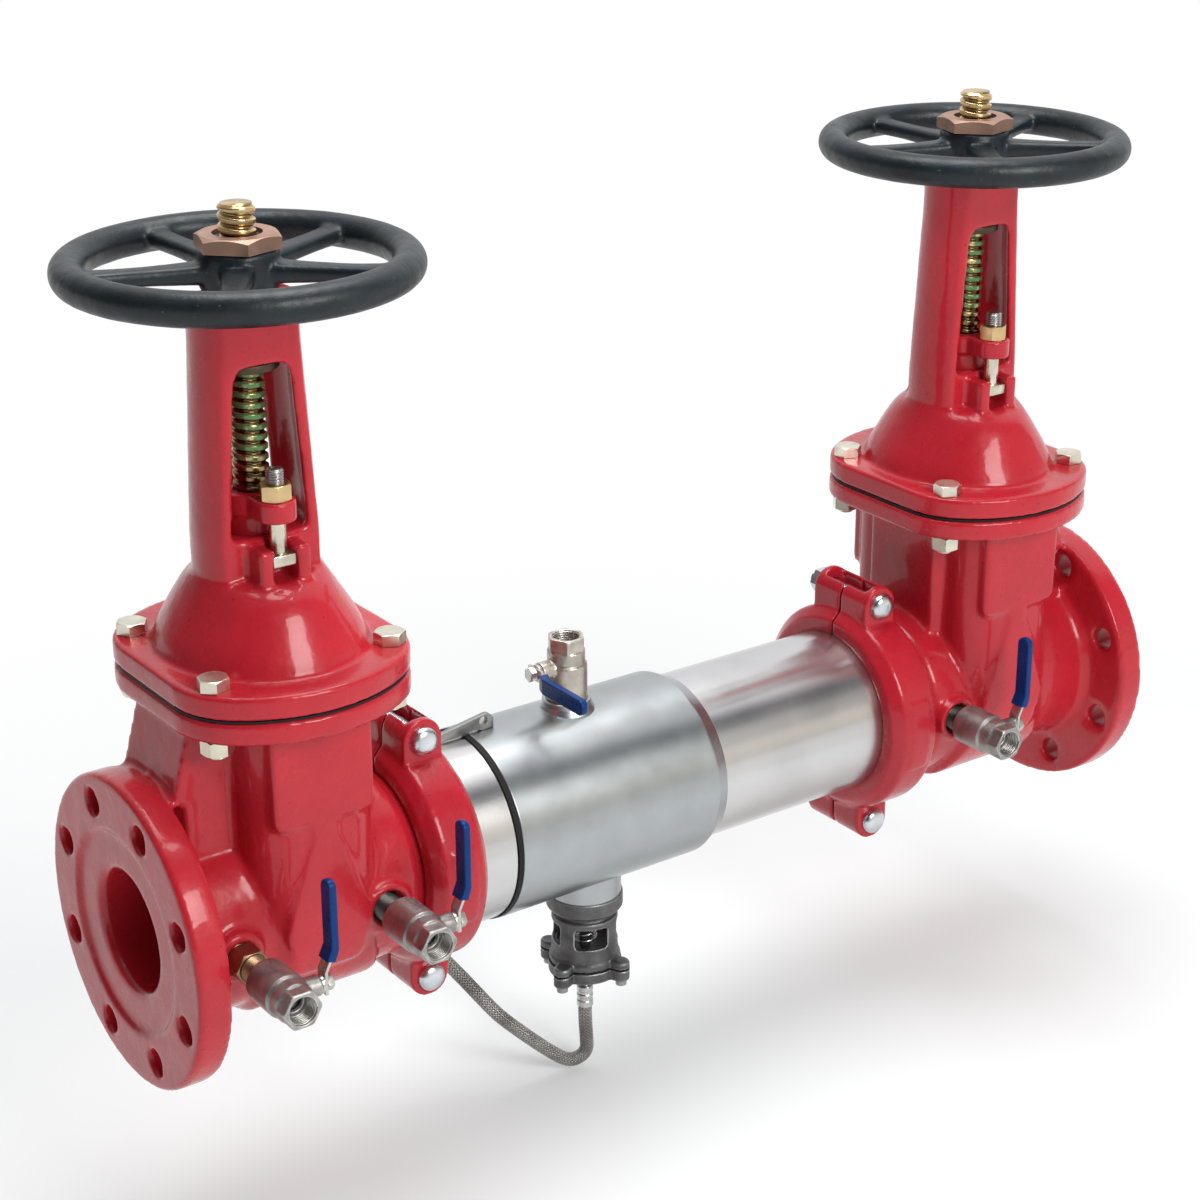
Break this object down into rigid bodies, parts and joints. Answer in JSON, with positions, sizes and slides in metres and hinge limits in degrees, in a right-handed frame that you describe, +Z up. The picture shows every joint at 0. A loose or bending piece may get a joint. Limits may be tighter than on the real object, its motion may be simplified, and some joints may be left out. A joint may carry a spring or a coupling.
{
  "type": "reduced pressure backflow preventer",
  "caption": "Flanged water pipe assembly: check valves and a vented relief valve between rising-stem gate valves, so that water passes one way and reverse flow drains out.",
  "frame": {"origin": "centre of the inlet flange's outer face, on the pipe line", "axes": "+X along the flow from inlet to outlet, +Z up along the valve stems, -Y toward the test cocks"},
  "size_m": [0.8644, 0.276, 0.7174],
  "materials": {
    "red_epoxy": "glossy fused epoxy over cast iron",
    "coupling_red": "glossy red paint over ductile iron",
    "black_enamel": "satin black enamel over cast iron",
    "brass": "machined brass",
    "bronze": "dull bronze",
    "iron_core": "rubber-coated cast iron",
    "yellow_zinc": "yellow zinc plate",
    "bright_zinc": "bright zinc plate",
    "stainless": "brushed stainless steel",
    "sleeve_steel": "duller pickled stainless steel",
    "black_rubber": "black rubber",
    "check_plastic": "glass-filled plastic",
    "gunmetal": "dark cast metal",
    "cock_bronze": "dull plated bronze",
    "cock_nickel": "satin nickel plate",
    "lever_steel": "plated steel",
    "grip_blue": "dipped blue vinyl",
    "hose_braid": "braided steel wire over a rubber hose"
  },
  "bodies": {
    "root": {"inlet_valve_body": "red_epoxy", "inlet_bonnet": "red_epoxy", "inlet_gland": "red_epoxy", "inlet_coupling_front": "coupling_red", "inlet_coupling_rear": "coupling_red", "inlet_coupling_gasket": "black_rubber", "inlet_check_seat": "check_plastic", "outlet_valve_body": "red_epoxy", "outlet_bonnet": "red_epoxy", "outlet_gland": "red_epoxy", "outlet_coupling_front": "coupling_red", "outlet_coupling_rear": "coupling_red", "outlet_coupling_gasket": "black_rubber", "outlet_check_seat": "check_plastic", "bonnet_gaskets": "black_rubber", "gland_packing": "black_rubber", "sleeve_seal": "black_rubber", "relief_diaphragm": "black_rubber", "bonnet_bolts": "yellow_zinc", "gland_bolts": "yellow_zinc", "gland_nuts": "brass", "cock_nipples": "brass", "coupling_bolts": "bright_zinc", "housing_tube": "stainless", "lock_bar": "stainless", "relief_spring": "stainless", "hose_fittings": "stainless", "access_sleeve": "sleeve_steel", "relief_collar": "gunmetal", "relief_cage": "gunmetal", "relief_cover": "gunmetal", "relief_screws": "gunmetal", "cock_1_body": "cock_bronze", "cock_2_body": "cock_bronze", "cock_3_body": "cock_nickel", "cock_4_body": "cock_bronze", "sensing_hose": "hose_braid"},
    "inlet_wheel": {"inlet_handwheel": "black_enamel", "inlet_wheel_nut": "bronze", "inlet_stem_nut": "bronze"},
    "inlet_gate": {"inlet_stem": "brass", "inlet_wedge": "iron_core"},
    "inlet_clapper": {"inlet_check_clapper": "stainless", "inlet_check_spring": "stainless"},
    "outlet_wheel": {"outlet_handwheel": "black_enamel", "outlet_wheel_nut": "bronze", "outlet_stem_nut": "bronze"},
    "outlet_gate": {"outlet_stem": "brass", "outlet_wedge": "iron_core"},
    "outlet_clapper": {"outlet_check_clapper": "stainless", "outlet_check_spring": "stainless"},
    "cock_1_handle": {"cock_1_lever": "lever_steel", "cock_1_grip": "grip_blue"},
    "cock_2_handle": {"cock_2_lever": "lever_steel", "cock_2_grip": "grip_blue"},
    "cock_4_handle": {"cock_4_lever": "lever_steel", "cock_4_grip": "grip_blue"},
    "cock_3_handle": {"cock_3_lever": "lever_steel", "cock_3_grip": "grip_blue"},
    "relief_plunger": {"relief_plunger": "check_plastic"}
  },
  "joints": [
    {"name": "inlet_wheel_turn", "type": "hinge", "parent": "root", "child": "inlet_wheel", "pos_m": [0.1143, 0, 0.438], "axis": [0, 0, 1], "range_deg": [0, 5400]},
    {"name": "inlet_gate_rise", "type": "slide", "parent": "root", "child": "inlet_gate", "axis": [0, 0, 1], "range_m": [0, 0.105]},
    {"name": "outlet_wheel_turn", "type": "hinge", "parent": "root", "child": "outlet_wheel", "pos_m": [0.7427, 0, 0.438], "axis": [0, 0, 1], "range_deg": [0, 5400]},
    {"name": "outlet_gate_rise", "type": "slide", "parent": "root", "child": "outlet_gate", "axis": [0, 0, 1], "range_m": [0, 0.105]},
    {"name": "inlet_check_swing", "type": "hinge", "parent": "root", "child": "inlet_clapper", "pos_m": [0.286, 0, 0.048], "axis": [0, -1, 0], "range_deg": [0, 55], "stiffness_Nm_per_rad": 0.8, "springref_deg": -22.92},
    {"name": "outlet_check_swing", "type": "hinge", "parent": "root", "child": "outlet_clapper", "pos_m": [0.492, 0, 0.048], "axis": [0, -1, 0], "range_deg": [0, 55], "stiffness_Nm_per_rad": 0.8, "springref_deg": -22.92},
    {"name": "cock_1_turn", "type": "hinge", "parent": "root", "child": "cock_1_handle", "pos_m": [0.048, -0.1345, 0], "axis": [1, 0, 0], "range_deg": [0, 90]},
    {"name": "cock_2_turn", "type": "hinge", "parent": "root", "child": "cock_2_handle", "pos_m": [0.1613, -0.1155, 0], "axis": [1, 0, 0], "range_deg": [0, 90]},
    {"name": "cock_4_turn", "type": "hinge", "parent": "root", "child": "cock_4_handle", "pos_m": [0.6857, -0.1095, 0], "axis": [1, 0, 0], "range_deg": [0, 90]},
    {"name": "cock_3_turn", "type": "hinge", "parent": "root", "child": "cock_3_handle", "pos_m": [0.361, 0, 0.103], "axis": [-1, 0, 0], "range_deg": [0, 90]},
    {"name": "relief_open", "type": "slide", "parent": "root", "child": "relief_plunger", "axis": [0, 0, -1], "range_m": [0, 0.008], "stiffness_N_per_m": 300, "springref_m": -0.004, "deforming": ["relief_spring"]}
  ],
  "couplings": [
    {"joint": "inlet_gate_rise", "follows": "inlet_wheel_turn", "m_per_rad": 0.001114},
    {"joint": "outlet_gate_rise", "follows": "outlet_wheel_turn", "m_per_rad": 0.001114}
  ]
}
